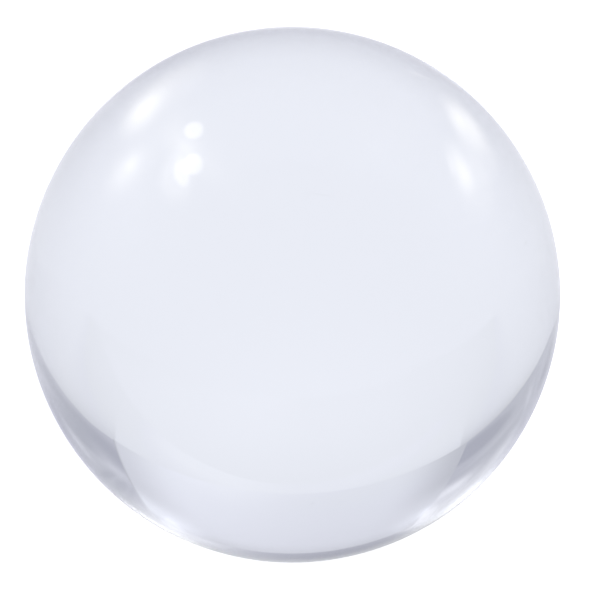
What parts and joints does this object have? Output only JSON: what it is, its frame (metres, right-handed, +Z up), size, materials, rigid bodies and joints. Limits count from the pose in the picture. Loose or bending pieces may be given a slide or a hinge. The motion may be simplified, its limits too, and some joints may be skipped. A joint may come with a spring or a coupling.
{
  "type": "acrylic ball",
  "caption": "Solid clear ball, polished all over, that acts as a thick lens; rests in a ring, cup or hollow on a desk.",
  "frame": {"origin": "centre of the ball", "axes": "+Z up; the ball looks the same from every side, so X and Y are free"},
  "size_m": [0.08, 0.08, 0.08],
  "materials": {
    "clear_acrylic": "polished"
  },
  "bodies": {
    "root": {"ball": "clear_acrylic"}
  },
  "joints": []
}
